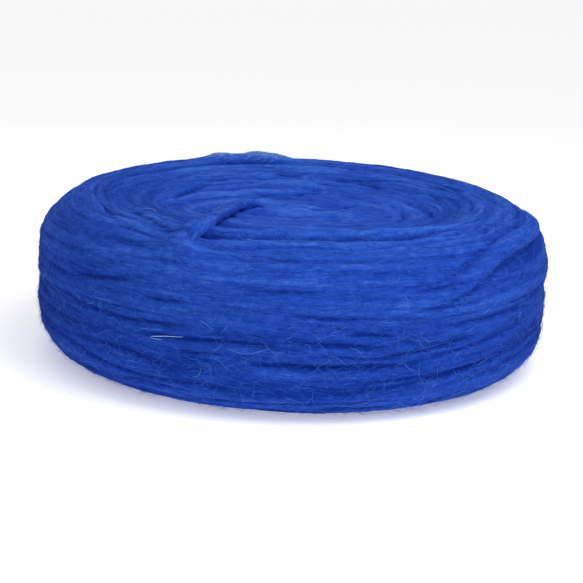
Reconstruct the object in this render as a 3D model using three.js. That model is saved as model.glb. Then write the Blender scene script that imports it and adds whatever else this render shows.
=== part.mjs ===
// A flat round plate of unspun wool: one long strand wound round and round, its loose end laid on top.
// Millimetres, +Z up, the origin at the middle of the flat foot, the front towards -Y.
import * as THREE from 'three';

// Wool
const woolColour = 0x2648aa;
const woolRoughness = 0.95;

// Wound form
const plateRadius = 85;
const plateHeight = 52.5;
const middleHeight = 46; // the middle of the top lies lower than the rim
const topShoulder = 18; // rounding of the upper edge
const footShoulder = 17; // rounding of the lower edge
const wallLean = 0.8; // how far the wall draws in towards the foot
const dishReach = 26; // how far from the middle the top stays low
const rimReach = 45; // how far from the middle the top is nearly at the rim's height
const footRadius = 56; // inner end of the turns on the flat foot
const slitReach = 26; // the middle has closed to an oval, this much longer along X on each side

// Main turns
const turnPitch = 4.6;
const grooveDepth = 1.4;
const stepsRound = 60;
const firstReach = 2.2; // half width of the innermost turn
const footFade = 14; // the turns flatten out over this length before the flat foot

// Loose end
const looseEndDiameter = 3.6;
const looseEndSides = 8;
const looseEndStep = 2 * looseEndDiameter;

// Slow waves that carry the turns out of true, in cycles round the plate and cycles down the section
const sways = [
  { round: 2, down: 1.3, start: 0.4, size: 0.8 },
  { round: 3, down: 2.6, start: 2.0, size: 0.5 },
  { round: 5, down: 4.1, start: 4.1, size: 0.4 },
];

// Grooves open and close along the turns, in the same cycles
const grooveWaves = [
  { round: 3, down: 5.3, start: 1.1, size: 0.35 },
  { round: 7, down: 3.2, start: 3.0, size: 0.25 },
];

// Bands of strand that lie over the other turns: where each starts and ends, in degrees round the
// plate and millimetres down the section from the middle of the top
const bands = [
  { name: 'over the right rim', fromTurn: 12, toTurn: -78, from: 66, to: 94, halfWidth: 4, lift: 1.6 },
  { name: 'low on the right', fromTurn: -22, toTurn: -88, from: 107, to: 118, halfWidth: 4, lift: 1.3 },
  { name: 'front crest', fromTurn: -50, toTurn: -118, from: 59, to: 63, halfWidth: 3, lift: 1.2 },
  { name: 'front edge', fromTurn: -66, toTurn: -116, from: 72, to: 73, halfWidth: 3, lift: 0.8 },
  { name: 'back rim', fromTurn: 122, toTurn: 86, from: 66, to: 66, halfWidth: 5, lift: 2.0 },
];
const bandEnd = 0.2; // share of a band's length over which each end sinks in

// Route of the loose end, from where it leaves the front turns to its tip
const looseEndRoute = [
  [-30.8, -71.0, 51.9],
  [-29.6, -67.6, 53.6],
  [-28.6, -63.8, 54.5],
  [-27.5, -59.2, 54.8],
  [-26.6, -54.2, 54.6],
  [-25.8, -48.8, 54.1],
  [-25.2, -43.0, 53.4],
  [-24.6, -37.0, 52.5],
  [-24.0, -31.0, 51.6],
  [-23.4, -25.0, 50.7],
  [-22.8, -19.0, 50.0],
  [-22.1, -12.8, 49.2],
  [-21.2, -6.6, 48.6],
  [-19.9, -0.6, 48.4],
  [-18.0, 4.6, 48.4],
  [-15.2, 8.0, 48.4],
  [-11.8, 8.8, 48.3],
  [-9.2, 8.0, 48.2],
];

const fullTurn = 2 * Math.PI;
const crestRadius = plateRadius - topShoulder;
const footEdge = plateRadius - wallLean - footShoulder;

// Half section of the plate, from the middle of the top over the rim and down the wall to the foot
const section = new THREE.Path();
section.moveTo(0, middleHeight);
section.bezierCurveTo(dishReach, middleHeight, rimReach, plateHeight, crestRadius, plateHeight);
const crestLength = section.getLength();
section.absarc(crestRadius, plateHeight - topShoulder, topShoulder, Math.PI / 2, 0, true);
section.absarc(footEdge, footShoulder, footShoulder, 0, -Math.PI / 2, true);
const wallLength = section.getLength();
section.lineTo(footRadius, 0);
const sectionLength = section.getLength();

// 1 on the top and the wall, falling to 0 at the flat foot
function relief(along) {
  return 1 - THREE.MathUtils.smoothstep(along, wallLength - footFade, wallLength);
}

// Sum of the waves of a table at one place
function wave(table, turn, along) {
  const down = (fullTurn * along) / sectionLength;
  let sum = 0;
  for (const row of table) {
    sum += row.size * Math.sin(row.round * turn + row.down * down + row.start);
  }
  return sum;
}

// How far the bands stand above the other turns at one place
function bandLift(turn, along) {
  const degrees = THREE.MathUtils.radToDeg(turn);
  let lift = 0;
  for (const band of bands) {
    const back = THREE.MathUtils.euclideanModulo(band.fromTurn - degrees, 360);
    const share = back / (band.fromTurn - band.toTurn);
    if (share < 1) {
      const middle = THREE.MathUtils.lerp(band.from, band.to, THREE.MathUtils.smoothstep(share, 0, 1));
      const aside = (along - middle) / band.halfWidth;
      const ends = Math.min(1, share / bandEnd, (1 - share) / bandEnd);
      lift += band.lift * ends * Math.exp(-aside * aside);
    }
  }
  return lift;
}

// A point of the surface: round the plate by an angle, down the section by a length, sunk by a depth
function surfacePoint(turn, along, sink) {
  const shown = relief(along);
  const place = Math.min(along + shown * wave(sways, turn, along), sectionLength);
  const point = section.getPoint(place / sectionLength);
  const tangent = section.getTangent(place / sectionLength);
  const lift = shown * (bandLift(turn, along) - sink);
  const reach = point.x - tangent.y * lift;
  const height = point.y + tangent.x * lift;
  const slit = slitReach * Math.max(0, 1 - along / crestLength);
  return new THREE.Vector3((reach + slit) * Math.cos(turn), reach * Math.sin(turn), height);
}

// Matt blue wool
function makeWool() {
  return new THREE.MeshStandardMaterial({ color: woolColour, roughness: woolRoughness, metalness: 0 });
}

// The plate: a crest line and a groove line wound side by side from the middle of the top to the foot
function makeWoundPlate() {
  const turns = Math.round((sectionLength - firstReach) / turnPitch);
  const pitch = (sectionLength - firstReach) / turns;
  const crestCount = turns * stepsRound + 1;
  const grooveCount = crestCount - stepsRound;
  const corners = [];
  const triangles = [];

  for (let i = 0; i < crestCount; i += 1) {
    const turn = (fullTurn * i) / stepsRound;
    corners.push(surfacePoint(turn, firstReach + (pitch * i) / stepsRound, 0));
  }
  for (let i = 0; i < grooveCount; i += 1) {
    const turn = (fullTurn * (i + 0.5)) / stepsRound;
    const along = firstReach + pitch * ((i + 0.5) / stepsRound + 0.5);
    corners.push(surfacePoint(turn, along, grooveDepth * (1 + wave(grooveWaves, turn, along))));
  }

  // The flanks of each turn
  for (let i = 0; i < grooveCount - 1; i += 1) {
    const crest = i;
    const groove = crestCount + i;
    const nextCrest = i + stepsRound;
    triangles.push(crest, groove, crest + 1, groove, groove + 1, crest + 1);
    triangles.push(groove, nextCrest, nextCrest + 1, groove, nextCrest + 1, groove + 1);
  }

  // A flat face closes the loop of the first turn and of the last
  function closeLoop(loop) {
    const outline = loop.map((index) => new THREE.Vector2(corners[index].x, corners[index].y));
    const clockwise = THREE.ShapeUtils.isClockWise(outline);
    for (const face of THREE.ShapeUtils.triangulateShape(outline, [])) {
      const turned = THREE.ShapeUtils.isClockWise(face.map((index) => outline[index])) !== clockwise;
      const [a, b, c] = turned ? [face[2], face[1], face[0]] : face;
      triangles.push(loop[a], loop[b], loop[c]);
    }
  }
  const firstLoop = Array.from({ length: stepsRound + 1 }, (_, i) => i);
  const lastLoop = Array.from({ length: stepsRound + 1 }, (_, i) => crestCount - 1 - i);
  closeLoop([...firstLoop, crestCount]);
  closeLoop([...lastLoop, crestCount + grooveCount - 1]);

  const geometry = new THREE.BufferGeometry().setFromPoints(corners);
  geometry.setIndex(triangles);
  geometry.computeVertexNormals();
  const plate = new THREE.Mesh(geometry, makeWool());
  plate.name = 'wound_plate';
  return plate;
}

// The loose end: an even tube along its route
function makeLooseEnd() {
  const corners = Array.from({ length: looseEndSides }, (_, i) => {
    const turn = (fullTurn * i) / looseEndSides;
    return new THREE.Vector2(Math.cos(turn), Math.sin(turn)).multiplyScalar(looseEndDiameter / 2);
  });
  const route = new THREE.CatmullRomCurve3(looseEndRoute.map((point) => new THREE.Vector3(...point)));
  const geometry = new THREE.ExtrudeGeometry(new THREE.Shape(corners), {
    steps: Math.round(route.getLength() / looseEndStep),
    bevelEnabled: false,
    extrudePath: route,
  });
  const looseEnd = new THREE.Mesh(geometry, makeWool());
  looseEnd.name = 'loose_end';
  return looseEnd;
}

const woolPlate = new THREE.Group();
woolPlate.add(makeWoundPlate(), makeLooseEnd());

export default woolPlate;
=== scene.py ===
import bpy
import numpy as np
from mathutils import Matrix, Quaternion, Vector


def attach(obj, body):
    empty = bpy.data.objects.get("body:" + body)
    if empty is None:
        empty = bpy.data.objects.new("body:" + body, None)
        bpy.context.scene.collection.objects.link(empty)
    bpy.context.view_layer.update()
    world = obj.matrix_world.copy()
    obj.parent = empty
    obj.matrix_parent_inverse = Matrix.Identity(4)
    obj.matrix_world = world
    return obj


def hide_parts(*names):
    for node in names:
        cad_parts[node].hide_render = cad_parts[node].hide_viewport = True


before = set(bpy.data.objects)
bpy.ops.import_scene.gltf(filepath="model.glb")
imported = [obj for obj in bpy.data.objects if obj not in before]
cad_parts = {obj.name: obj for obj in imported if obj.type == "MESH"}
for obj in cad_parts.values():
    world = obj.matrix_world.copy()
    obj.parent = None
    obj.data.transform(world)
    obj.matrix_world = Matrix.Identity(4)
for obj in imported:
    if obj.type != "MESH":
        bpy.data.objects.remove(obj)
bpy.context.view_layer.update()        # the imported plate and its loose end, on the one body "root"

mm = 0.001               # sizes below are in millimetres and angles in degrees
sectionStep = 0.1        # the wound form's section is read off at this step
fullTurn = 2 * np.pi

# the camera, fitted to the photograph's outline
view = {
    "distance": 594.0,
    "elevation": 14.0,
    "roll": 2.34,
    "lens": 108.3,
    "target": (0.0, 0.0, 26.45),
    "aimDrop": 6.8,      # the picture's middle lies this far under the target
}


# puts new data into the scene as an object, and turns it where a turn is given
def addObject(name, data, turn=None):
    thing = bpy.data.objects.new(name, data)
    bpy.context.scene.collection.objects.link(thing)
    if turn is not None:
        thing.rotation_mode = "QUATERNION"
        thing.rotation_quaternion = turn
    return thing


# the camera stands in front at the given elevation, looks at the aim point and is turned by its roll
def placeCamera():
    lift = np.radians(view["elevation"])
    target = Vector(view["target"])
    away = Vector((0.0, -np.cos(lift), np.sin(lift)))
    up = Vector((0.0, np.sin(lift), np.cos(lift)))
    eye = target + away * view["distance"]
    aim = target - up * view["aimDrop"]
    turn = (aim - eye).to_track_quat("-Z", "Y") @ Quaternion((0, 0, 1), np.radians(view["roll"]))
    lens = bpy.data.cameras.new("photoView")
    lens.lens = view["lens"]
    lens.sensor_width = 36.0
    camera = addObject("photoView", lens, turn)
    camera.location = eye * mm
    bpy.context.scene.camera = camera
    print("camera placed")


placeCamera()


# rows with named columns; values left off at a row's end are left out
def namedRows(columns, rows):
    return [dict(zip(columns.split(), row)) for row in rows]


# each vector divided by its length
def unit(v):
    return v / np.maximum(np.linalg.norm(v, axis=-1, keepdims=True), 1e-9)


# the length walked along a line of points, from 0 at the first: the running sum of its steps
def lengthWalked(line):
    return np.concatenate([[0], np.cumsum(np.linalg.norm(np.diff(line, axis=0), axis=1))])


# 0 below 0, 1 above 1, and a smooth step between
def smooth(x):
    x = np.clip(x, 0, 1)
    return x * x * (3 - 2 * x)


# smooth random line from -1 to 1: a random value at each whole place, blended by the smooth step between
def wander(t, seed):
    table = np.random.default_rng(seed).uniform(-1, 1, 8192)
    low = np.floor(t).astype(int)
    share = smooth(t - low)
    return table[low % 8192] * (1 - share) + table[(low + 1) % 8192] * share


# the same over two directions: a smooth random field that repeats after the given cells along u
def drift(u, v, cells, seed):
    rows = 997
    table = np.random.default_rng(seed).uniform(-1, 1, (cells, rows))
    u0, v0 = np.floor(u).astype(int), np.floor(v).astype(int)
    fu, fv = smooth(u - u0), smooth(v - v0)
    near = table[u0 % cells, v0 % rows] * (1 - fu) + table[(u0 + 1) % cells, v0 % rows] * fu
    far = table[u0 % cells, (v0 + 1) % rows] * (1 - fu) + table[(u0 + 1) % cells, (v0 + 1) % rows] * fu
    return near * (1 - fv) + far * fv


# wool: colours in linear light, from the photograph's darkest, middle and lightest stretches
woolLook = {
    "deep": (0.0050, 0.0298, 0.287),
    "middle": (0.0188, 0.0705, 0.462),
    "pale": (0.048, 0.147, 0.61),
    "streakLong": 0.075,     # streaks in each millimetre along the strand
    "streakWide": 0.9,       # and across it
    "fineLong": 0.30,
    "fineWide": 2.2,
    "mottle": 0.45,          # blotches in each millimetre
    "fuzz": 1.7,             # and specks
    "streakShare": 0.7,      # how much each of them changes the tone
    "mottleShare": 0.6,
    "fuzzShare": 0.45,       # beside the fine streaks
    "fine": 0.9,             # strength of the fine streaks and specks
    "fineOnTop": 0.6,
    "baseTone": -0.77,       # the tone before streaks, blotches and specks are added
    "bump": 0.6,
    "bumpHeight": 0.30,      # millimetres
    "bumpLong": 0.9,         # long streaks beside the fine ones
    "roughness": 0.95,
    "shine": 0.02,
    "sheen": 0.03,
    "sheenTint": (0.45, 0.62, 1.0, 1.0),
    "sheenRoughness": 0.6,
}

fibreLook = {
    "deep": (0.010, 0.045, 0.32),
    "middle": (0.034, 0.135, 0.64),
    "pale": (0.15, 0.36, 0.92),
    "patch": 500.0,          # tones in each metre
    "roughness": 0.85,
    "shine": 0.05,
}

hairLook = {
    "deep": (0.14, 0.22, 0.46),
    "middle": (0.07, 0.25, 0.85),
    "pale": (0.48, 0.76, 1.0),
    "patch": 300.0,
    "roughness": 0.6,
    "shine": 0.1,
}


# gives a node's inputs their values, or joins them to other nodes' outputs
def setInputs(tree, node, inputs):
    for name, value in inputs.items():
        if isinstance(value, bpy.types.NodeSocket):
            tree.links.new(value, node.inputs[name])
        else:
            node.inputs[name].default_value = value
    return node.outputs


# a plain shader with the look's roughness and shine
def newMaterial(name, look):
    material = bpy.data.materials.new(name)
    material.use_nodes = True
    tree = material.node_tree
    shader = tree.nodes["Principled BSDF"]
    setInputs(tree, shader, {"Roughness": look["roughness"], "Specular IOR Level": look["shine"]})
    return material, tree, shader


# soft random values from 0 to 1, by the places in each unit
def noiseNode(tree, vector, scale, detail, rough):
    noise = tree.nodes.new("ShaderNodeTexNoise")
    values = {"Vector": vector, "Scale": scale, "Detail": detail, "Roughness": rough}
    return setInputs(tree, noise, values)["Fac"]


# streaks: noise drawn out along the strand, by the places in each millimetre along and across it
def streakNode(tree, along, across):
    mapping = tree.nodes.new("ShaderNodeMapping")
    values = {"Vector": readNode(tree, "wind", "Vector"), "Scale": (along, along, across)}
    return noiseNode(tree, setInputs(tree, mapping, values)["Vector"], 1.0, 2.0, 0.6)


# the first value plus the second times a share
def sumNode(tree, first, second, share):
    node = tree.nodes.new("ShaderNodeMath")
    node.operation = "MULTIPLY_ADD"
    return setInputs(tree, node, {0: second, 1: share, 2: first})[0]


# deep, middle and pale at the given places, blended evenly between
def rampNode(tree, value, look, places):
    ramp = tree.nodes.new("ShaderNodeValToRGB")
    ramp.color_ramp.elements.new(0.5)
    for element, place, name in zip(ramp.color_ramp.elements, places, ("deep", "middle", "pale")):
        element.position = place
        element.color = (*look[name], 1.0)
    return setInputs(tree, ramp, {"Fac": value})["Color"]


# a value that is kept at the mesh's points
def readNode(tree, name, output):
    node = tree.nodes.new("ShaderNodeAttribute")
    node.attribute_name = name
    return node.outputs[output]


# colour is a ramp from deep over middle to pale by the tone kept at the mesh plus long streaks, blotches, and
# fine streaks and specks; the bump is both streaks together. "wind" is a place along and across the strand in
# millimetres; "tone", which holds the strand's own tone together with painted shade and painted light, and
# "fine" for the strength of fine streaks and specks, are worked out with the shape
def strandWool(name, look):
    material, tree, shader = newMaterial(name, look)
    longStreak = streakNode(tree, look["streakLong"], look["streakWide"])
    fineStreak = streakNode(tree, look["fineLong"], look["fineWide"])
    place = tree.nodes.new("ShaderNodeTexCoord").outputs["Object"]
    mottle = noiseNode(tree, place, look["mottle"] / mm, 2.0, 0.6)
    fuzz = noiseNode(tree, place, look["fuzz"] / mm, 1.0, 0.5)
    tone = sumNode(tree, readNode(tree, "tone", "Fac"), longStreak, look["streakShare"])
    tone = sumNode(tree, tone, mottle, look["mottleShare"])
    fine = sumNode(tree, fineStreak, fuzz, look["fuzzShare"])
    tone = sumNode(tree, tone, fine, readNode(tree, "fine", "Fac"))
    relief = sumNode(tree, fineStreak, longStreak, look["bumpLong"])
    bump = tree.nodes.new("ShaderNodeBump")
    values = {"Strength": look["bump"], "Distance": look["bumpHeight"] * mm, "Height": relief}
    setInputs(tree, shader, {
        "Base Color": rampNode(tree, tone, look, (0.0, 0.5, 1.0)),
        "Normal": setInputs(tree, bump, values)["Normal"],
        "Sheen Weight": look["sheen"],
        "Sheen Roughness": look["sheenRoughness"],
        "Sheen Tint": look["sheenTint"],
    })
    return material


# single fibres: a ramp over each fibre's own tone, 0 to 1, and fine patches
def fibreWool(name, look):
    material, tree, shader = newMaterial(name, look)
    place = tree.nodes.new("ShaderNodeTexCoord").outputs["Object"]
    patch = noiseNode(tree, place, look["patch"], 1.0, 0.5)
    tone = sumNode(tree, readNode(tree, "tone", "Fac"), patch, 0.3)
    setInputs(tree, shader, {"Base Color": rampNode(tree, tone, look, (0.15, 0.6, 1.0))})
    return material


turnWool = strandWool("blueStrandWool", woolLook)
fibreBlue = fibreWool("blueLooseFibre", fibreLook)
hairPale = fibreWool("paleStrayHair", hairLook)
print("wool mixed")


# puts worked-out arrays into a new mesh object and makes it ride on the plate's one body
def putPiece(name, shape, material):
    mesh = bpy.data.meshes.new(name)
    quads, triangles = shape["quads"], shape["triangles"]
    corners = np.concatenate([quads.ravel(), triangles.ravel()]).astype(np.int32)
    starts = np.concatenate([4 * np.arange(len(quads)), 4 * len(quads) + 3 * np.arange(len(triangles))])
    mesh.vertices.add(len(shape["points"]))
    mesh.vertices.foreach_set("co", (shape["points"] * mm).astype(np.float32).ravel())
    mesh.loops.add(len(corners))
    mesh.loops.foreach_set("vertex_index", corners)
    mesh.polygons.add(len(starts))
    mesh.polygons.foreach_set("loop_start", starts.astype(np.int32))
    mesh.update(calc_edges=True)
    flat = mesh.uv_layers.new(name="OFBake")
    flat.data.foreach_set("uv", shape["flatMap"].astype(np.float32).ravel())
    if "wind" in shape:
        mesh.attributes.new("wind", "FLOAT_VECTOR", "POINT").data.foreach_set("vector", shape["wind"].ravel())
    for key in [key for key in ("tone", "fine") if key in shape]:
        mesh.attributes.new(key, "FLOAT", "POINT").data.foreach_set("value", shape[key].ravel())
    mesh.shade_smooth()
    mesh.materials.append(material)
    piece = addObject(name, mesh)
    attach(piece, "root")
    print(name, len(quads) * 2 + len(triangles), "triangles")
    return piece


# strands: at each ring of a path an oval of the given half width and half height, set square to the path with
# its height along the out vectors and swollen at each side; a pointed cap closes each end. paths is an array
# of strands x rings x 3
def carryOval(paths, outs, halfWide, halfHigh, sides, swell=1.0):
    strands, rings = paths.shape[:2]
    ahead = unit(np.gradient(paths, axis=1))
    across = unit(np.cross(ahead, outs))
    up = np.cross(across, ahead)
    angle = fullTurn * np.arange(sides) / sides - np.pi / 2
    wide = halfWide[..., None] * np.cos(angle) * swell
    high = halfHigh[..., None] * np.sin(angle) * swell
    skin = paths[:, :, None] + across[:, :, None] * wide[..., None] + up[:, :, None] * high[..., None]
    tips = np.stack([paths[:, 0] - ahead[:, 0] * halfHigh[:, :1],
                     paths[:, -1] + ahead[:, -1] * halfHigh[:, -1:]], 1)
    points = np.concatenate([skin.reshape(-1, 3), tips.reshape(-1, 3)])

    number = np.arange(strands * rings * sides).reshape(strands, rings, sides)
    beside = np.roll(number, -1, axis=2)
    quads = np.stack([number[:, :-1], number[:, 1:], beside[:, 1:], beside[:, :-1]], -1).reshape(-1, 4)
    tip = strands * rings * sides + 2 * np.arange(strands)[:, None] + np.zeros(sides, int)
    first = np.stack([tip, number[:, 0], beside[:, 0]], -1).reshape(-1, 3)
    last = np.stack([tip + 1, beside[:, -1], number[:, -1]], -1).reshape(-1, 3)

    # the flat map lays all segments out in rows, each segment as long as it is wide round
    segments = strands * (rings - 1)
    columns = int(np.ceil(np.sqrt(segments * sides / 3)))
    rows = int(np.ceil(segments / columns))
    place = np.arange(segments).reshape(strands, rings - 1)
    u0 = np.repeat((place % columns / columns)[..., None], sides, axis=2)
    u1 = u0 + 1 / columns
    v = (place // columns)[..., None] + 0.03 + 0.94 * np.arange(sides + 1) / sides
    v0, v1 = v[..., :-1] / rows, v[..., 1:] / rows
    flatQuads = np.stack([u0, v0, u1, v0, u1, v1, u0, v1], -1)
    flatFirst = np.stack([u1, (v0 + v1) / 2, u0, v0, u0, v1], -1)[:, 0]
    flatLast = np.stack([u0, (v0 + v1) / 2, u1, v1, u1, v0], -1)[:, -1]
    flatMap = np.concatenate([flatQuads.reshape(-1, 2), flatFirst.reshape(-1, 2), flatLast.reshape(-1, 2)])
    return dict(points=points, quads=quads, triangles=np.concatenate([first, last]), flatMap=flatMap)


# the wound form
plate = {
    "radius": 85.0,
    "height": 52.5,
    "middleHeight": 46.0,    # the middle of the top lies lower than the rim
    "topShoulder": 18.0,
    "footShoulder": 17.0,
    "wallLean": 0.8,
    "dishReach": 26.0,
    "rimReach": 45.0,
    "slitReach": 26.0,       # the middle has closed to an oval, longer by this along X on each side
    "topEase": 16.0,         # over this length before the crest the top's look passes into the wall's
}


# half section from the middle of the top to the middle of the foot: a Bezier dish up to the rim, a quarter
# circle, the leaning wall, a quarter circle and a flat line, read off at even steps
def halfSection(p):
    t = np.linspace(0, 1, 600)[:, None]
    crest = p["radius"] - p["topShoulder"]
    footEdge = p["radius"] - p["wallLean"] - p["footShoulder"]
    middle, low = np.array([0, p["middleHeight"]]), np.array([p["dishReach"], p["middleHeight"]])
    high, rim = np.array([p["rimReach"], p["height"]]), np.array([crest, p["height"]])
    dish = (1 - t) ** 3 * middle + 3 * (1 - t) ** 2 * t * low + 3 * (1 - t) * t ** 2 * high + t ** 3 * rim
    fall = np.pi / 2 * (1 - t)
    quarter = np.hstack([np.cos(fall), np.sin(fall)])
    upper = [crest, p["height"] - p["topShoulder"]] + p["topShoulder"] * quarter
    lower = [footEdge, p["footShoulder"]] + p["footShoulder"] * np.hstack([np.sin(fall), -np.cos(fall)])
    foot = np.hstack([footEdge * (1 - t), 0 * t])
    line = np.vstack([dish, upper[1:], lower, foot[1:]])
    walked = lengthWalked(line)
    along = np.arange(0, walked[-1], sectionStep)
    reach, rise = np.interp(along, walked, line[:, 0]), np.interp(along, walked, line[:, 1])
    slope = unit(np.stack([np.gradient(reach), np.gradient(rise)], 1))
    return dict(along=along, reach=reach, rise=rise, outReach=-slope[:, 1], outRise=slope[:, 0],
                crest=walked[len(dish) - 1], foot=walked[-1] - footEdge, end=walked[-1])


section = halfSection(plate)


# a value of the section at a length along it
def onSection(along, name):
    return np.interp(along, section["along"], section[name])


# 1 on the top and 0 on the wall, with a smooth step over the last stretch before the crest
def topShare(along):
    return smooth((section["crest"] - along) / plate["topEase"])


# 1 in the middle of the top, falling evenly to 0 at the crest
def slitShare(along):
    return np.clip(1 - along / section["crest"], 0, 1)


# a place on the wound form: the section's point at a length along it, moved out by the lift, swept round by
# the turn, and drawn out along X on the top so that the middle closes to a slit
def surfacePoint(turn, along, lift):
    reach = onSection(along, "reach") + lift * onSection(along, "outReach")
    rise = onSection(along, "rise") + lift * onSection(along, "outRise")
    slit = plate["slitReach"] * slitShare(along)
    return np.stack([(reach + slit) * np.cos(turn), reach * np.sin(turn), rise], -1)


# the way out of the surface there: the section's own normal swept round by the turn
def surfaceOut(turn, along):
    reach = onSection(along, "outReach")
    return np.stack([reach * np.cos(turn), reach * np.sin(turn), onSection(along, "outRise")], -1)


# the loose end: its route in metres, up to about a millimetre lower than the solid's so that it lies in the
# wool, and the strand's sizes in millimetres
looseEnd = {
    "route": [
        (-0.0308, -0.0710, 0.0514), (-0.0297, -0.0676, 0.0530), (-0.0286, -0.0638, 0.0540),
        (-0.0275, -0.0592, 0.0544), (-0.0265, -0.0542, 0.0543), (-0.0258, -0.0488, 0.0538),
        (-0.0253, -0.0430, 0.0531), (-0.0248, -0.0370, 0.0522), (-0.0243, -0.0310, 0.0514),
        (-0.0238, -0.0250, 0.0506), (-0.0233, -0.0190, 0.0499), (-0.0227, -0.0130, 0.0492),
        (-0.0219, -0.0070, 0.0484), (-0.0207, -0.0014, 0.0480), (-0.0188, 0.0034, 0.0478),
        (-0.0161, 0.0066, 0.0476), (-0.0132, 0.0076, 0.0473), (-0.0110, 0.0074, 0.0470),
    ],
    "diameter": 3.6,
    "sides": 30,
    "rings": 140,
    "startsBefore": 2.2,     # the strand's skin starts this far inside the wool
    "rootWay": (-0.15, -0.45, -0.88),
    "lumpy": 0.13,           # how uneven the skin is, as a share of the radius
    "fibres": 320,
    "bedLift": 1.8,          # how far the wool rises beside it
    "bedReach": 4.5,
    "bedBox": ((-46.0, -86.0), (4.0, 22.0)),  # seen from above, round the route; beyond it no bed is left
    "bedRight": (0.35, 0.5),  # the share of that on its right, at the root and at the tip
    "wide": 1.5,             # half width and half height of the strand's oval, in radii
    "high": 1.02,
    "rootPaintedShade": -0.25,       # painted shade at the root, where it goes into the wool, and on its right side, away from the light
    "rightPaintedShade": -0.45,
}


# a smooth curve through the given points: between two points a cubic whose slopes are half the difference of
# the points on either side, read off at even lengths
def smoothRoute(points, count):
    p = np.vstack([2 * points[0] - points[1], points, 2 * points[-1] - points[-2]])
    t = np.linspace(0, len(points) - 1, 60 * len(points))
    k = np.minimum(t.astype(int), len(points) - 2)
    f = (t - k)[:, None]
    a, b, c, d = p[k], p[k + 1], p[k + 2], p[k + 3]
    line = 2 * b + (c - a) * f + (2 * a - 5 * b + 4 * c - d) * f ** 2 + (3 * b - a - 3 * c + d) * f ** 3
    line = 0.5 * line
    walked = lengthWalked(line)
    even = np.linspace(0, walked[-1], count)
    return np.stack([np.interp(even, walked, line[:, i]) for i in range(3)], 1), walked[-1]


looseEndPath, looseEndLength = smoothRoute(np.array(looseEnd["route"]) / mm, looseEnd["rings"])


# how the wool closes round the loose end: a bell over the distance, seen from above, to the nearest place on
# its path, lower on its right side and fading in after the root
def looseEndBed(place):
    path = looseEndPath[::4, :2]
    ahead = unit(np.gradient(path, axis=0))
    lift = np.zeros(place.shape[:-1])
    least, most = np.array(looseEnd["bedBox"])
    close = np.all((place[..., :2] > least) & (place[..., :2] < most), -1)
    away = place[close][:, None, :2] - path
    nearest = np.argmin(np.hypot(away[..., 0], away[..., 1]), axis=1)
    away = away[np.arange(len(nearest)), nearest]
    right = away[:, 0] * ahead[nearest, 1] - away[:, 1] * ahead[nearest, 0]
    share = nearest / (len(path) - 1)
    low, high = looseEnd["bedRight"]
    side = 1 + (low + (high - low) * share - 1) * smooth(0.5 + right / 4)
    distance = np.hypot(away[:, 0], away[:, 1]) / looseEnd["bedReach"]
    lift[close] = looseEnd["bedLift"] * smooth((share - 0.05) / 0.13) * side * np.exp(-distance ** 2)
    return lift


# the turns: one strand wound from the slit over the top, down the wall and under the foot
turns = {
    "topPitch": 5.6,         # front and back; nearer each other at the slit's ends
    "wallPitch": 3.9,
    "turnsToWall": 19.255,   # turns from the middle to this place along the section
    "wallAlong": 90.0,
    "stray": 0.40,           # how far the line between two turns wanders, in pitches
    "creaseDeep": 1.05,      # narrow creases between turns that open and close
    "creaseWide": 0.42,
    "topCreases": 0.85,      # share of that on the top
    "valleyDeep": 0.55,      # and the soft valleys beside them
    "valleyWide": 1.15,
    "uneven": 0.38,          # how much higher or lower one stretch of strand lies than the next
    "fullness": 0.15,        # how far the wool swells over the wound form
    "lowBulge": 1.0,         # and how much more it does low on the wall
    "lowBulgeAlong": 121.0,
    "bundle": 0.24,          # ridges of wool along the strand
    "bundleFine": 0.14,
    "wallPaintedShade": -0.24,       # painted shade: the wall is a little darker than the top, where less light falls
    "wallPaintedShadeAlong": 76.0,   # from here on
    "lowPaintedShade": -0.21,        # and more painted shade low down
    "lowPaintedShadeAlong": 111.0,
    "topGrain": 0.34,        # ridges and streaks in each millimetre on the top, as a share of the wall's
    "strandTone": 0.16,      # how much lighter or darker one stretch of strand is than the next
    "hollowPaintedShade": 0.33,      # painted shade: how much darker a hollow is for each millimetre, and lighter a crest
    "wallHollowPaintedShade": 0.05,  # and how much more painted shade on the wall
}

# slow waves that neighbouring turns share, in cycles round the plate and down the section
sways = namedRows("round down start size", [
    (2, 1.3, 0.4, 0.8),
    (3, 2.6, 2, 0.5),
    (5, 4.1, 4.1, 0.4),
])

# stretches of strand that lie over the others: the places each passes, in degrees round the plate and
# millimetres along the section, half width, height, the depth of the crease beside it and the share over
# which its ends sink in; "grain" carries the wool's streaks along with it
bands = namedRows("route halfWidth lift crease fade grain", [
    ([(10, 80.5), (-10, 80.5), (-23, 80), (-32, 80.5), (-38, 82), (-43, 84), (-48, 86), (-52, 88.5),
      (-59, 91), (-74, 94.5)], 3.3, 1.9, 0.12, (0.2, 0.3)),
    ([(-20, 108), (-90, 118)], 3.2, 1.2, 0.4),
    ([(-30, 60), (-43, 61.5), (-54, 63.5), (-62, 64.5), (-72, 63.5), (-83, 63.5), (-91, 63), (-101, 65),
      (-107, 66), (-112, 68), (-120, 69.5)], 2.35, 2.7, 0.6, (0.35, 0.09), True),
    ([(-62, 70.5), (-80, 70), (-91, 69.5), (-101, 71.5), (-112, 74)], 2.4, 0.5, 0.2, (0.2, 0.2)),
    ([(-113, 72.5), (-117, 70.5), (-122, 68.5), (-129, 65), (-138, 60), (-152, 53)], 2.6, 1.3, 0.2),
    ([(-112, 77), (-118, 75), (-125, 73.5), (-136, 71)], 1.9, 0.6, 0.1, (0.22, 0.22)),
    ([(-111, 79), (-118, 78.5), (-126, 77.5), (-138, 76.5)], 2, 0.6, 0.1, (0.22, 0.22)),
    ([(-112, 80.5), (-118, 81), (-126, 82), (-136, 83)], 1.9, 0.5, 0.1, (0.22, 0.22)),
    ([(131, 66.5), (100, 66)], 4.3, 2.75, 0.3, (0.54, 0.4)),
    ([(113, 66), (89, 66.5)], 4.3, 2.6, 0.3, (0.45, 0.5)),
])
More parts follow.
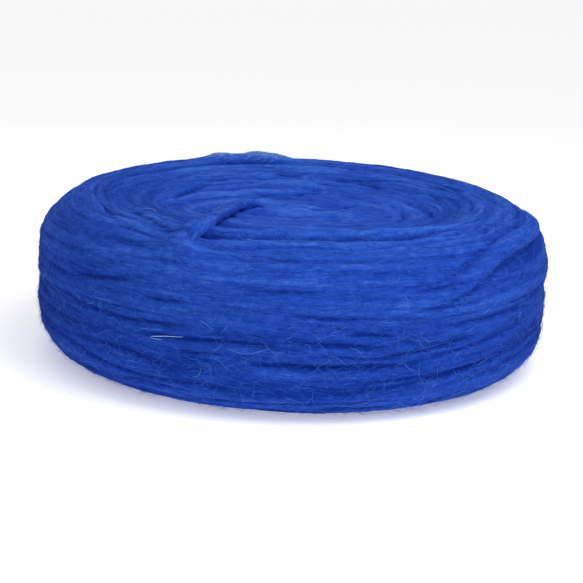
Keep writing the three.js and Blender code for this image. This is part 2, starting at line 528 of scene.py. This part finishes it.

# single creases that show in the photograph: the places each passes, its depth, how much wider it is than
# most and how much darker than the wool beside it, which is painted shade in the crease
creases = namedRows("route deep wide darker fade", [
    ([(-40, 64.5), (-43, 64.5), (-54, 66), (-62, 67), (-72, 66), (-83, 66), (-91, 65.5), (-101, 67.5),
      (-107, 68.5), (-112, 70.5), (-116, 72)], 1.6, 1, 0, (0.08, 0.08)),
    ([(-106, 68.5), (-116, 72)], 1.2),
    ([(-124, 90.5), (-143, 94)], 1.2),
    ([(-76, 73), (-81, 72), (-88, 71.5), (-94, 72.5), (-100, 74), (-107, 76), (-112, 76.5)], 0.6),
    ([(-8, 83.5), (-17, 83.5), (-28, 84.5), (-35, 86), (-42, 87.5)], 0.8),
    ([(-79, 88.5), (-107, 88.5)], 0.8),
    ([(-109, 95), (-123, 95.5)], 1),
    ([(-110, 102), (-132, 103.5)], 1),
    ([(-90, 104.5), (-127, 106.5)], 1.3),
    ([(-102, 109.5), (-115, 110)], 1),
    ([(-87, 111.5), (-99, 111.5)], 1.1),
    ([(-110, 122.5), (-129, 123)], 1.1),
    ([(-70, 97), (-94, 96.5)], 1),
    ([(-67, 103), (-80, 102)], 1),
    ([(-67, 106.5), (-94, 103.5)], 1),
    ([(-66, 112), (-94, 111)], 1.4),
    ([(-46, 105.5), (-75, 109.5)], 1.4),
    ([(-40, 115), (-79, 116.5)], 1.2),
    ([(-48, 88), (-68, 90.5)], 1),
    ([(-37, 94), (-67, 95.5)], 0.8),
    ([(-22, 101), (-61, 101)], 0.75),
    ([(-30, 71), (-33, 72), (-36, 72.5)], 1, 1.5, 0.15),
    ([(-117, 72), (-120, 71.5), (-124, 71)], 1.3, 1.5, 0.15),
    ([(-132, 73), (-138, 73.5)], 0.9, 2, 0.12),
    ([(-142, 71), (-148, 69.5), (-156, 67)], 1, 2, 0.12),
    ([(-124, 64), (-129, 61.5), (-135, 57.5)], 1, 2.4, 0.15),
    ([(-145, 9.5), (-150, 10), (-159, 9), (-181, 8.5)], 0.8, 2, 0.3),
    ([(167, 28.5), (150, 32), (142, 33.5), (130, 37.5), (118, 39)], 1.2, 2.4, 0.28),
    ([(111, 25.5), (104, 24.5), (96, 24)], 1, 2.4, 0.4),
    ([(94, 27.5), (76, 29)], 0.9, 2.4, 0.4),
    ([(83, 8), (68, 12.5), (54, 19)], 1, 2.2, 0.35),
    ([(99, 45.5), (93, 45), (86, 44.5)], 1, 2.4, 0.45),
    ([(68, 43), (59, 42), (51, 39.5)], 0.9, 2.4, 0.3),
    ([(81, 44.5), (70, 44), (62, 47), (43, 53)], 1.2, 2.4, 0.55),
    ([(122, 62.5), (105, 61.5), (88, 61)], 0.8, 2.2, 0.35),
    ([(38, 62), (28, 59.5), (18, 59)], 1.4, 2.4, 0.2),
    ([(31, 45.5), (17, 43)], 0.9, 2.4, 0.2),
    ([(30, 24.5), (13, 18.5), (-11, 16), (-31, 19)], 1.1, 2.2, 0.2),
    ([(10, 30), (-5, 32.5), (-17, 36), (-29, 36)], 1, 2.2, 0.2),
])

# soft swellings, pockets and lighter or darker parts: middle and reach, in degrees and millimetres, height,
# and how much lighter they are; the rows marked below carry painted shade and painted light
mounds = namedRows("at reach lift tone", [
    ((-115.4, 77.6), (4.8, 4.5), 2.1),
    ((-113.7, 77.6), (2.8, 4.2), 1),
    ((-117.2, 71), (2.6, 5.5), 1.8, 0.1),
    ((-118, 63.5), (2.8, 4.5), 1.2, 0.06),
    # painted shade: the dark pocket under the loose end, and the corner where its root meets the raised
    # strand in front
    ((-115, 45), (6.5, 9), -1.3, -0.5),
    ((-111, 69.6), (3.5, 1.6), 0, -0.5),
    # painted shade in the sunk pockets below the long band across the front
    ((-20, 85.6), (8, 2.6), -0.7, -0.3),
    ((-32, 87), (9, 3), -0.4, -0.22),
    # painted light on the right of the top, whose dish leans away from the lights
    ((58, 46), (40, 22), 0, 0.13),
    # painted shade on the left of the top, whose dish leans towards the lights
    ((182, 56), (46, 28), 0, -0.14),
    # painted light on the back humps, whose far side gets less light
    ((112.6, 66), (3.5, 2.6), 0, 0.6),
    ((99.5, 66), (6, 2.6), 0, 0.6),
    ((112, 13), (14, 7), -0.3),
    ((-174, 30), (18, 8), 0, -0.3),
    ((-127, 75.5), (7, 1.8), 0.4, 0.25),
    ((84, 45), (7, 3.5), 0, -0.3),
    ((-139, 92), (10, 10), 0, -0.18),
    ((-14, 40), (26, 12), 0, -0.2),
    ((10, 59.5), (8, 5), 0, -0.2),
    ((-45, 77), (10, 4), 0, -0.12),
    ((-55, 112), (16, 5), 0, 0.15),
    ((-104, 65.5), (7, 2.5), 0, -0.2),
])

# parts where the turns have felted together: middle and reach, and the share of the creases left, which is
# above 1 where they show more
felted = namedRows("at reach left", [
    ((-88, 85), (46, 12), 0.2),
    ((-84, 100), (60, 22), 0.6),
    ((-155, 84), (34, 16), 0.45),
    ((-157, 112), (24, 15), 0.5),
    ((-35, 88), (30, 14), 0.4),
    ((-34, 110), (36, 16), 0.55),
    ((-90, 74), (36, 7), 0.3),
    ((176, 55), (48, 24), 0.55),
    ((84, 44), (48, 22), 1.7),
])


# from one pitch on the top to another on the wall by a smooth step around the crest
def pitchAlong(along):
    share = smooth((along - section["crest"] + 12) / 24)
    return turns["topPitch"] + (turns["wallPitch"] - turns["topPitch"]) * share


# turns, and millimetres of grain, that have been walked at each length along the section
turnsWalked = np.cumsum(sectionStep / pitchAlong(section["along"]))
turnsToHere = np.interp(turns["wallAlong"], section["along"], turnsWalked)
turnsWalked = turnsWalked + turns["turnsToWall"] - turnsToHere
grainWalked = np.cumsum(sectionStep * (1 - (1 - turns["topGrain"]) * topShare(section["along"])))


# sum of sine waves, fading out at the slit and at the foot
def sharedSway(turn, along):
    down = fullTurn * along / section["foot"]
    waves = (row["size"] * np.sin(row["round"] * turn + row["down"] * down + row["start"]) for row in sways)
    return sum(waves) * smooth(along / 12) * smooth((section["foot"] - along) / 14)


# how far a row's ends have faded in at a turn, and the middle of the row there, which wriggles a little
def rowPlace(row, turn):
    passed, along = np.array(row["route"], float).T
    back = np.mod(passed[0] - np.degrees(turn), 360)
    share = back / (passed[0] - passed[-1])
    middle = np.interp(back, passed[0] - passed, along) + 0.4 * wander(back / 9 + 7 * along[0], 46)
    first, last = row.get("fade", (0.3, 0.3))
    return smooth(share / first) * smooth((1 - share) / last), middle


# the share of the way round that a place has walked: a flat loop near the slit has its length in front and
# behind, so a sine of twice the turn is taken off
def lapWalked(turn, along):
    flat = 0.75 * slitShare(along) ** 0.7
    return (turn - flat * np.sin(2 * turn) / 2) / fullTurn


# a bell around a row's middle, 1 there and falling to 0 beyond its reach: the exponential of minus the powers
def bell(row, turn, along, power):
    aside = np.mod(np.degrees(turn) - row["at"][0] + 180, 360) - 180
    down = along - row["at"][1]
    return np.exp(-np.abs(aside / row["reach"][0]) ** power - np.abs(down / row["reach"][1]) ** power)


# the share of creases that is left where turns have felted: 1 less a bell around each felted part
def creaseShare(turn, along):
    share = 1.0
    for row in felted:
        share = share * (1 - (1 - row["left"]) * bell(row, turn, along, 4))
    return share


# how far the grain of the wool is carried aside where it follows a band: the way from the band's middle to
# its start
def bandShift(turn, along):
    shift = 0.0
    for row in [row for row in bands if row.get("grain")]:
        ends, middle = rowPlace(row, turn)
        share = smooth(ends * 3) * smooth((1.25 - np.abs(along - middle) / row["halfWidth"]) / 0.4)
        shift = shift * (1 - share) + share * (row["route"][0][1] - middle)
    return shift


# the tone of the strand that a place lies on: a smooth random line along each turn
def strandTone(turn, along):
    turn = np.mod(turn, fullTurn)
    phase = np.interp(along + sharedSway(turn, along), section["along"], turnsWalked) - turn / fullTurn
    walked = lapWalked(turn, along)
    low = np.floor(phase)
    share = smooth((phase - low - 0.5) / 0.3 + 0.5)
    return wander((low + walked) * 8, 48) * (1 - share) + wander((low + 1 + walked) * 8, 48) * share


# height of the wool over the wound form: stretches of strand a little higher or lower, less creases and
# valleys along the lines between turns, then bands, mounds and the loose end's bed, less single creases, plus
# ridges of wool along the turns; it sinks to a flat foot
def woolRelief(turn, along):
    turn = np.mod(turn, fullTurn)
    lap = turn / fullTurn
    swayed = along + sharedSway(turn, along)
    phase = np.interp(swayed, section["along"], turnsWalked) - lap
    drawnIn = plate["slitReach"] / section["crest"] * np.cos(turn) ** 2
    squeeze = 1 - drawnIn * smooth((section["crest"] - along) / 20)
    spacing = pitchAlong(swayed) * squeeze
    onTop = topShare(along)
    left = creaseShare(turn, along) * (1 - (1 - turns["topCreases"]) * onTop)
    walked = lapWalked(turn, along)
    near = np.round(phase)
    dip, level, weight = 0.0, 0.0, 1e-9
    for step in (-1, 0, 1):
        place = near + step + walked
        over = phase - near - step
        aside = np.abs(over - turns["stray"] * wander(place * 17, 41)) * spacing
        opened = left * squeeze ** 2 * smooth((wander(place * 24, 42) + 0.10) / 0.8)
        crease = opened * turns["creaseDeep"] * np.exp(-aside / (turns["creaseWide"] * (1 + onTop)))
        far = aside / turns["valleyWide"] / (1 + 0.6 * onTop)
        valley = (0.3 + 0.7 * opened) * turns["valleyDeep"] * np.exp(-far ** 2)
        dip = np.maximum(dip, crease + valley)
        share = np.exp(-((over - 0.5) / 0.45) ** 4)
        level = level + share * wander(place * 9, 43)
        weight = weight + share
    lift = turns["fullness"] + turns["uneven"] * (level / weight) - dip
    lift = lift + turns["lowBulge"] * np.exp(-((along - turns["lowBulgeAlong"]) / 11) ** 2)
    for row in bands:
        ends, middle = rowPlace(row, turn)
        aside = np.abs(along - middle) / row["halfWidth"]
        uneven = 1 + 0.18 * wander(np.degrees(turn) / 6 + row["lift"], 47)
        dome = np.sqrt(np.clip(1 - aside ** 2, 0, 1)) * uneven
        lift = lift * (1 - 0.85 * ends * smooth((1.2 - aside) / 0.4)) + row["lift"] * ends * dome
        lift = lift - row["crease"] * ends * np.exp(-((aside - 1.05) * row["halfWidth"] / 0.7) ** 2)
    for row in [row for row in mounds if row["lift"]]:
        lift = lift + row["lift"] * bell(row, turn, along, 2)
    lift = lift + looseEndBed(surfacePoint(turn, along, 0.0))
    for row in creases:
        ends, middle = rowPlace(row, turn)
        aside = np.abs(along - middle) / row.get("wide", 1.0)
        lift = lift - 0.85 * row["deep"] * ends * (np.exp(-aside / 0.5) + 0.4 * np.exp(-(aside / 1.5) ** 2))
    cells = 40
    grain = np.interp(along, section["along"], grainWalked) + bandShift(turn, along)
    bundle = drift(walked * cells, grain / 1.5 + 0.7 * np.sin(3 * turn), cells, 44)
    bundleFine = drift(walked * cells * 2, grain / 0.7, cells * 2, 45)
    ridges = turns["bundle"] * bundle + turns["bundleFine"] * bundleFine
    lift = lift + ridges * (0.25 + 0.75 * creaseShare(turn, along))
    footShare = smooth((along - section["foot"] + 10) / 10)
    return np.where(footShare > 0, np.minimum(lift, lift * (1 - footShare)), lift) - 0.3 * footShare


# the shells of wool
shell = {
    "round": 396,            # places round
    "strips": 3,             # strips of the flat map
    "topRows": 220,          # rings on each shell's outer side
    "wallRows": 240,
    "footRows": 44,
    "backRows": 4,           # rings on the inner side, and its depth
    "deep": 5.0,
}


# a shell over the wound form from one length along the section to another: the outer side is a grid of even
# turns and even lengths lifted by the relief, the inner side a few rings back at an even depth. "folded"
# presses the first and last ring flat and closes them along X, and otherwise the last ring joins the first
def woolShell(start, end, rows, folded):
    cols, strips, back = shell["round"], shell["strips"], shell["backRows"]
    lengths = np.concatenate([np.linspace(start, end, rows), np.linspace(end, start, back)])
    turn, along = np.meshgrid(fullTurn * np.arange(cols) / cols, lengths)
    lift = woolRelief(turn, along)
    # how far the wool lies below its mean 1.2 and 2.4 mm either way along the section; it sets painted shade
    # in hollows and painted light on crests
    level = np.mean([woolRelief(turn, along + step) for step in (-2.4, -1.2, 1.2, 2.4)], axis=0)
    hollow = np.clip(level - lift, -0.3, 1)
    fold = smooth(along / 2.5)
    lift = lift * fold - (1 - fold)
    lift[rows:] = -shell["deep"]
    points = surfacePoint(turn, along, lift)
    points[..., 2] = np.maximum(points[..., 2], 0.0)
    number = np.arange(lift.size).reshape(lift.shape)
    if folded:
        points[[0, -1], :, 1] = 0.0
        number[0] = np.minimum(number[0], np.roll(number[0, ::-1], 1))
        number[-1] = np.minimum(number[-1], np.roll(number[-1, ::-1], 1))
    else:
        number = np.vstack([number, number[:1]])
    beside = np.roll(number, -1, axis=1)
    ring = [number[:-1], number[1:], beside[1:], beside[:-1]]
    order = [0, 1, 2, 3] if end > start else [3, 2, 1, 0]
    quads = np.stack([ring[k] for k in order], -1).reshape(-1, 4)

    # the flat map stacks equal strips of the way round
    strip, column = np.divmod(np.arange(cols), cols // strips)
    share = 0.005 + 0.99 * np.arange(len(number)) / len(number)
    v0, v1 = (strip + share[:-1, None]) / strips, (strip + share[1:, None]) / strips
    u0 = np.broadcast_to(0.005 + 0.99 * column * strips / cols, v0.shape)
    u1 = u0 + 0.99 * strips / cols
    corner = [(u0, v0), (u0, v1), (u1, v1), (u1, v0)]
    flatMap = np.stack([np.stack(corner[k], -1) for k in order], -2).reshape(-1, 2)

    # the wool's place: round on a circle as wide as the turn is, and across it
    reach = onSection(along, "reach") + 0.6 * plate["slitReach"] * slitShare(along)
    grain = np.interp(along + sharedSway(turn, along), section["along"], grainWalked) + bandShift(turn, along)
    wind = np.stack([reach * np.cos(turn), reach * np.sin(turn), grain], -1)
    tone = woolLook["baseTone"] + 0.12 * drift(turn / fullTurn * 16, along / 6, 16, 51)
    # painted shade in hollows, more on the wall, and painted light on crests
    tone = tone - (turns["hollowPaintedShade"] + turns["wallHollowPaintedShade"] * smooth((along - 85) / 10)) * hollow
    onTop = topShare(along)
    fine = woolLook["fine"] - (woolLook["fine"] - woolLook["fineOnTop"]) * onTop
    atBack = onTop * smooth((np.sin(turn) - 0.55) / 0.35)
    tone = tone + turns["strandTone"] * (1 + 0.9 * atBack) * strandTone(turn, along)
    # painted shade on the wall, most of it low down, where less light falls
    tone = tone + turns["lowPaintedShade"] * np.exp(-((along - turns["lowPaintedShadeAlong"]) / 10) ** 2)
    tone = tone + turns["wallPaintedShade"] * smooth((along - turns["wallPaintedShadeAlong"]) / 26)
    tone = tone + 0.7 * (woolLook["fine"] - fine)
    # lighter and darker parts from the mounds, with the painted shade and painted light marked there
    tone = tone + sum(row["tone"] * bell(row, turn, along, 2) for row in mounds if "tone" in row)
    # painted shade along the creases that have a darker value
    for row in [row for row in creases if "darker" in row]:
        ends, middle = rowPlace(row, turn)
        tone = tone - row["darker"] * ends * np.exp(-((along - middle) / (0.8 * row["wide"])) ** 2)
    used, quads = np.unique(quads, return_inverse=True)
    return dict(points=points.reshape(-1, 3)[used], quads=quads.reshape(-1, 4),
                triangles=np.empty((0, 3), int), flatMap=flatMap,
                wind=wind.reshape(-1, 3)[used].astype(np.float32),
                tone=tone.ravel()[used].astype(np.float32), fine=fine.ravel()[used].astype(np.float32))


# the three shells meet at the crest and at the edge of the foot
def windTurns():
    crest, foot, middle = section["crest"], section["foot"], section["end"] - 0.6
    putPiece("top_turns", woolShell(0.0, crest, shell["topRows"], True), turnWool)
    wall = putPiece("wall_turns", woolShell(crest, foot, shell["wallRows"], False), turnWool)
    putPiece("foot_turns", woolShell(middle, foot, shell["footRows"], True), turnWool)
    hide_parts("wound_plate")
    print("strand wound")


windTurns()


# a wool strand along a path: an oval whose skin rises and falls in ridges that turn slowly round the strand;
# it has painted shade at its root and on its right side, away from the light
def woolStrand(path, radius, seed):
    rings, sides, lumpy = len(path), looseEnd["sides"], looseEnd["lumpy"]
    walked = lengthWalked(path)[:, None]
    angle = fullTurn * np.arange(sides)[None] / sides
    cells = 7
    ridge = drift(cells * (angle / fullTurn + walked / 70), walked / 6, cells, seed)
    fine = drift(2 * cells * (angle / fullTurn + walked / 50), walked / 2.2, 2 * cells, seed + 1)
    swell = 1 + lumpy * ridge + 0.4 * lumpy * fine
    outs = np.broadcast_to([0.0, 0.0, 1.0], path.shape)
    halfWide, halfHigh = looseEnd["wide"] * radius[None], looseEnd["high"] * radius[None]
    shape = carryOval(path[None], outs[None], halfWide, halfHigh, sides, swell[None])
    ratio = woolLook["streakWide"] / woolLook["streakLong"]
    ahead, around = np.broadcast_to(walked, (rings, sides)), np.broadcast_to(angle, (rings, sides))
    wind = np.stack([ahead, ratio * 1.8 * np.cos(around), 1.8 * np.sin(around)], -1).reshape(-1, 3)
    # painted shade on the strand's right side, away from the light, and at its root
    shadedRightSide = np.exp(-((angle - 1.45) / 0.75) ** 2) * smooth((walked - 16) / 14)
    tone = woolLook["baseTone"] + 0.07 + 0.08 * ridge + 0.05 * fine
    tone = tone + looseEnd["rootPaintedShade"] * (1 - smooth(walked / 14))
    tone = (tone + looseEnd["rightPaintedShade"] * shadedRightSide).ravel()
    shape["wind"] = np.concatenate([wind, wind[:1], wind[-1:]]).astype(np.float32)
    shape["tone"] = np.concatenate([tone, tone[:1], tone[-1:]]).astype(np.float32)
    shape["fine"] = np.full(len(shape["tone"]), woolLook["fine"], np.float32)
    return shape


# fibres on a strand: each follows the path at its own place round it and leaves the skin at its ends, more so
# beyond the strand's root and tip
def strandFibres(path, radius, count):
    rng = np.random.default_rng(71)
    ahead = unit(np.gradient(path, axis=0))
    across = unit(np.cross(ahead, [0.0, 0.0, 1.0]))
    up = np.cross(across, ahead)
    walked = lengthWalked(path)
    t = np.linspace(0, 1, 7)[None]
    at = rng.uniform(-4, walked[-1] - 9, (count, 1)) + rng.uniform(4, 11, (count, 1)) * t
    inside = np.clip(at, 0, walked[-1])
    along, side, over, middle = (np.stack([np.interp(inside, walked, line[:, i]) for i in range(3)], -1)
                                 for line in (ahead, across, up, path))
    past = at - inside
    angle = rng.uniform(-0.25, 2.7, (count, 1)) + rng.normal(0, 0.7, (count, 1)) * (t - 0.5)
    off = rng.uniform(-0.25, 0.4, (count, 1)) * (2 * t - 1) ** 2 + 0.22 * np.abs(past)
    size = np.interp(inside, walked, radius) + off
    place = middle + along * past[..., None] + side * (1.4 * size * np.cos(angle))[..., None]
    place = place + over * (size * np.sin(angle) - 0.3 * np.abs(past))[..., None]
    thick = rng.uniform(0.025, 0.042, (count, 1)) * (1 - 0.5 * (2 * t - 1) ** 2)
    shape = carryOval(place, over, thick, thick, 3)
    shape["tone"] = fibreTone(rng.uniform(0.3, 0.65, count), 7, 3)
    return shape


# the same tone at all corners of a fibre, rings first and then the two tips, as carryOval orders them
def fibreTone(tone, rings, sides):
    return np.concatenate([np.repeat(tone, rings * sides), np.repeat(tone, 2)]).astype(np.float32)


# the strand leaves the turns at the route's first point and lies on the top, thinner at its tip
def makeLooseEnd():
    path, length = looseEndPath, looseEndLength
    share = np.linspace(0, 1, looseEnd["rings"])
    ends = (0.48 + 0.52 * smooth(share / 0.10)) * (0.55 + 0.45 * smooth((1 - share) / 0.06))
    ends = ends * (1 + 0.22 * smooth((share - 0.45) / 0.25))
    uneven = 1 + 0.14 * wander(share * 9, 5) + 0.07 * wander(share * 26, 6)
    radius = looseEnd["diameter"] / 2 * ends * uneven
    back = np.linspace(looseEnd["startsBefore"], 0, 6)[:-1, None]
    inside = path[:1] + back * np.array(looseEnd["rootWay"])
    wholeRadius = np.append(np.full(len(inside), radius[0]), radius)
    strand = woolStrand(np.vstack([inside, path]), wholeRadius, 55)
    piece = putPiece("loose_end_strand", strand, turnWool)
    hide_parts("loose_end")
    hairy = putPiece("loose_end_fibres", strandFibres(path, radius, looseEnd["fibres"]), fibreBlue)
    print("loose end", round(length, 1), "mm")


makeLooseEnd()

# loose fibres: how many and where, in millimetres along the section and degrees round the plate where not
# all round, length and thickness, how far from the strand's direction they lie, how much they curl, how far
# middle and ends stand off the wool, and tone; the tufts on the back rim are of the pale hairs' wool, their
# paleness partly painted light where the back of the humps gets less light
tuft = {"zone": (64, 67), "long": (1.5, 6), "thick": (0.02, 0.05), "astray": 0.5, "curl": 2.0,
        "standOff": (0.05, 0.4), "endsOff": (-0.3, 0.4), "tone": (0.3, 0.95), "points": 7, "pale": True}
fibres = [
    {"name": "lying_fibres", "count": 4000, "seed": 61, "zone": (40, 144),
     "long": (3, 15), "thick": (0.035, 0.065), "astray": 0.20, "curl": 0.5,
     "standOff": (0.0, 0.12), "endsOff": (-0.1, 0.1), "tone": (-0.1, 0.55), "points": 5},
    {"name": "curly_fibres", "count": 3300, "seed": 62, "zone": (70, 137),
     "long": (2, 6.5), "thick": (0.025, 0.044), "astray": 1.1, "curl": 3.6,
     "standOff": (0.05, 0.35), "endsOff": (-0.2, 0.4), "tone": (0.10, 0.60), "points": 9},
    {"name": "fuzz_fibres", "count": 2800, "seed": 66, "zone": (30, 139),
     "long": (1.5, 5), "thick": (0.020, 0.034), "astray": 1.3, "curl": 3.0,
     "standOff": (0.05, 0.30), "endsOff": (-0.2, 0.4), "tone": (0.2, 0.85), "points": 8},
    {"name": "halo_fibres", "count": 1400, "seed": 63, "zone": (98, 141),
     "long": (3, 9), "thick": (0.03, 0.055), "astray": 0.9, "curl": 1.4,
     "standOff": (0.1, 0.8), "endsOff": (0.2, 1.9), "tone": (0.3, 0.7), "points": 8},
    {"name": "back_tufts_left", "count": 110, "seed": 64, "turns": (109, 117), **tuft},
    {"name": "back_tufts_right", "count": 210, "seed": 67, "turns": (92, 105), **tuft},
    {"name": "low_wisps", "count": 80, "seed": 65, "turns": (-86, -38), "zone": (122, 139),
     "long": (7, 17), "thick": (0.018, 0.028), "astray": 0.7, "curl": 2.2,
     "standOff": (0.3, 2.0), "endsOff": (0.4, 4.5), "tone": (0.8, 1.2), "points": 10},
]


# each fibre starts at a random place and walks on the wool: its heading is a stray angle plus a slow curl,
# its height the wool's own, evened out, plus a bow between the middle's and the ends' stand-off
def makeFibres(row):
    rng = np.random.default_rng(row["seed"])
    count, points = row["count"], row["points"]
    reachAlong = section["reach"] + 16 * slitShare(section["along"])
    low, high = row["zone"]
    share = np.cumsum(np.where((section["along"] > low) & (section["along"] < high), reachAlong, 0.0))
    along = np.interp(rng.uniform(0, 1, count), share / share[-1], section["along"])[:, None]
    turn = np.radians(rng.uniform(*row.get("turns", (0, 360)), count))[:, None]
    t = np.linspace(-0.5, 0.5, points)[None, :]
    phase, waves = rng.uniform(0, fullTurn, (count, 1)), rng.uniform(0.6, 1.8, (count, 1))
    bend = row["curl"] * rng.normal(0, 0.5, (count, 1)) * t
    wave = 0.3 * row["curl"] * np.sin(fullTurn * waves * t + phase)
    heading = rng.normal(0, row["astray"], (count, 1)) + bend + wave
    stride = rng.uniform(*row["long"], (count, 1)) / (points - 1)
    goRound = np.cumsum(stride * np.cos(heading), axis=1)
    goDown = np.cumsum(stride * np.sin(heading), axis=1)
    slit = plate["slitReach"] * slitShare(along)
    reach = onSection(along, "reach")
    speed = np.hypot((reach + slit) * np.sin(turn), reach * np.cos(turn))
    turnPath = turn + goRound / np.maximum(speed, 4.0)
    alongPath = np.clip(along + goDown, 1.0, section["foot"] + 8)
    lift = woolRelief(turnPath, alongPath)
    lift = np.maximum(lift, lift.mean(axis=1, keepdims=True))
    bow = (2 * t) ** 2
    offs = (row["standOff"], row["endsOff"], row["endsOff"])
    middleOff, firstOff, lastOff = (rng.uniform(*off, (count, 1)) for off in offs)
    lift = lift + middleOff * (1 - bow) + np.where(t < 0, firstOff, lastOff) * bow
    path = surfacePoint(turnPath, alongPath, lift)
    path[..., 2] = np.maximum(path[..., 2], 0.12)
    thick = rng.uniform(*row["thick"], (count, 1)) * (1 - 0.55 * bow)
    shape = carryOval(path, surfaceOut(turnPath, alongPath), thick, thick, 3)
    shape["tone"] = fibreTone(rng.uniform(*row["tone"], count), points, 3)
    return putPiece(row["name"], shape, hairPale if row.get("pale") else fibreBlue)


for row in fibres:
    makeFibres(row)
print("fibres laid")

# single pale hairs that show in the photograph: the places each passes, thickness and tone
hairs = namedRows("route thick tone", [
    ([(-119.2, 106.9), (-115.9, 106.2), (-112, 105.6)], 0.1, 1.2),
    ([(-119.2, 107.3), (-117.9, 107.4), (-116.4, 107.2)], 0.06, 0.7),
    ([(-109.6, 117), (-108.1, 116.1), (-107.5, 113.7)], 0.07, 0.1),
    ([(-145.4, 58.8), (-146.6, 53), (-147.1, 46.9), (-143, 49), (-138.9, 52.7)], 0.045, 0.6),
    ([(-108, 99.6), (-106.8, 100.2), (-105.2, 101.9)], 0.045, 0.55),
    ([(-102.2, 107.2), (-98.8, 108.2), (-96.2, 107.3), (-93.6, 105.8)], 0.045, 0.55),
    ([(-108.4, 88.6), (-107.4, 88), (-106.3, 88.1)], 0.045, 0.6),
    ([(-101.4, 70.6), (-100.8, 70.4), (-100.2, 70)], 0.05, 0.6),
])


# each hair is a smooth curve through its places, held a little above the wool and thinner towards its ends
def makeHairs():
    points = 16
    paths, outs, thick = [], [], []
    for row in hairs:
        places, _ = smoothRoute(np.array([(*place, 0.0) for place in row["route"]]), points)
        turn, along = np.radians(places[:, 0]), places[:, 1]
        lift = woolRelief(turn, along)
        paths.append(surfacePoint(turn, along, np.maximum(lift, lift.mean()) + 0.2 + row["thick"]))
        outs.append(surfaceOut(turn, along))
        thick.append(row["thick"] * (1 - 0.6 * np.linspace(-1, 1, points) ** 4))
    shape = carryOval(np.array(paths), np.array(outs), np.array(thick), np.array(thick), 5)
    shape["tone"] = fibreTone(np.array([row["tone"] for row in hairs]), points, 5)
    putPiece("stray_hairs", shape, hairPale)
    print("hairs laid")


makeHairs()

# pale floor and soft studio light
studio = {
    "floorHalf": 8000.0,
    "floorColour": (0.96, 0.96, 0.96, 1.0),
    "floorGlow": 0.37,       # keeps the floor white, as in the photograph
    "roughness": 0.9,        # the floor's
    "shine": 0.5,
    "white": (1.0, 1.0, 1.0, 1.0),
    "skyStrength": 0.31,
    "sunStrength": 1.17,
    "sunSpread": 75.0,
    "sunFrom": (0.24, -0.86, 1.05),
    "lampPower": 0.52,
    "lampSize": 240.0,
    "lampAt": (140.0, -145.0, 320.0),
    "backLampPower": 0.20,
    "backLampAt": (-120.0, 280.0, 240.0),
}


# a round soft lamp at a place, turned to the plate
def hangLamp(name, power, place):
    lamp = bpy.data.lights.new(name, "AREA")
    lamp.energy = power
    lamp.shape = "DISK"
    lamp.size = studio["lampSize"] * mm
    piece = addObject(name, lamp, (Vector(view["target"]) - place).to_track_quat("-Z", "Y"))
    piece.location = place * mm
    piece.visible_camera = False


# a flat floor that glows a little, an even sky, a broad sun and two lamps
def lightStudio():
    half = studio["floorHalf"] * mm
    mesh = bpy.data.meshes.new("paleFloor")
    corners = [(-half, -half, 0), (half, -half, 0), (half, half, 0), (-half, half, 0)]
    mesh.from_pydata(corners, [], [(0, 1, 2, 3)])
    material, tree, shader = newMaterial("paleFloor", studio)
    glow = {"Emission Color": studio["white"], "Emission Strength": studio["floorGlow"]}
    setInputs(tree, shader, {"Base Color": studio["floorColour"], **glow})
    mesh.materials.append(material)
    floor = addObject("paleFloor", mesh)
    world = bpy.data.worlds.new("softSky")
    world.use_nodes = True
    sky = world.node_tree.nodes["Background"]
    setInputs(world.node_tree, sky, {"Color": studio["white"], "Strength": studio["skyStrength"]})
    bpy.context.scene.world = world
    lamp = bpy.data.lights.new("softKey", "SUN")
    lamp.energy = studio["sunStrength"]
    lamp.angle = np.radians(studio["sunSpread"])
    addObject("softKey", lamp, (-Vector(studio["sunFrom"])).to_track_quat("-Z", "Y"))
    hangLamp("nearLamp", studio["lampPower"], Vector(studio["lampAt"]))
    hangLamp("backLamp", studio["backLampPower"], Vector(studio["backLampAt"]))
    bpy.context.scene.view_settings.view_transform = "Standard"
    print("studio lit")


lightStudio()
